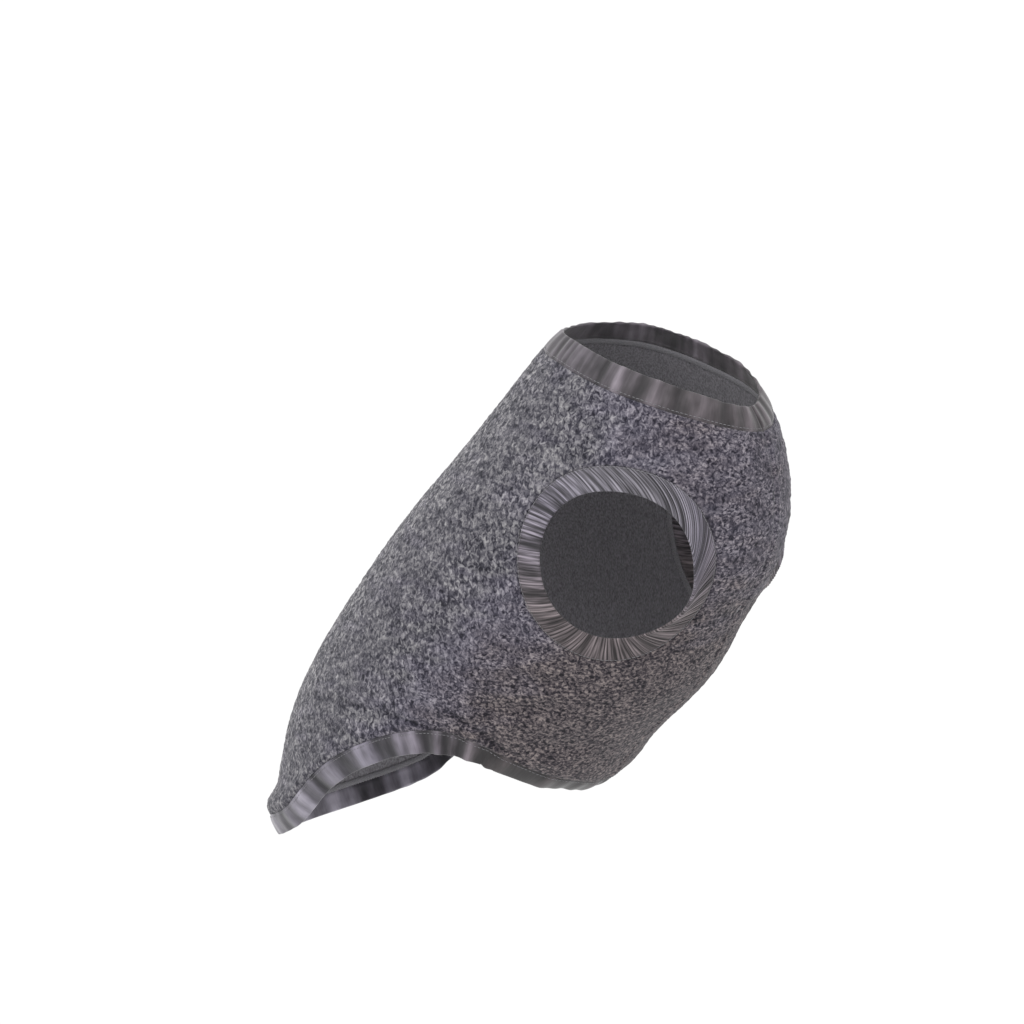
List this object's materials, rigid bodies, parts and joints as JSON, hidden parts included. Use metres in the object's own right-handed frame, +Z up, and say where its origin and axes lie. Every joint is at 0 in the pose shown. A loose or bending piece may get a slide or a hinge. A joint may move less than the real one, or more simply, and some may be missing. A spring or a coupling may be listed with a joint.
{
  "type": "dog vest",
  "caption": "Hollow pull-on dog vest of marled fleece with ribbed neck, armhole and hem bands, in the shape of a sitting dog's trunk.",
  "frame": {"origin": "inside the back at the withers, where the wearer's back carries the vest", "axes": "+X towards the wearer's front, +Y towards the wearer's left, +Z up"},
  "size_m": [0.5047, 0.2564, 0.4876],
  "materials": {
    "fleece": "marled charcoal and light grey looped fleece, matte",
    "rib": "mid-grey ribbed knit with a soft sheen"
  },
  "bodies": {
    "root": {"body": "fleece", "neck_band": "rib", "armhole_band_right": "rib", "armhole_band_left": "rib", "hem_band": "rib"}
  },
  "joints": []
}
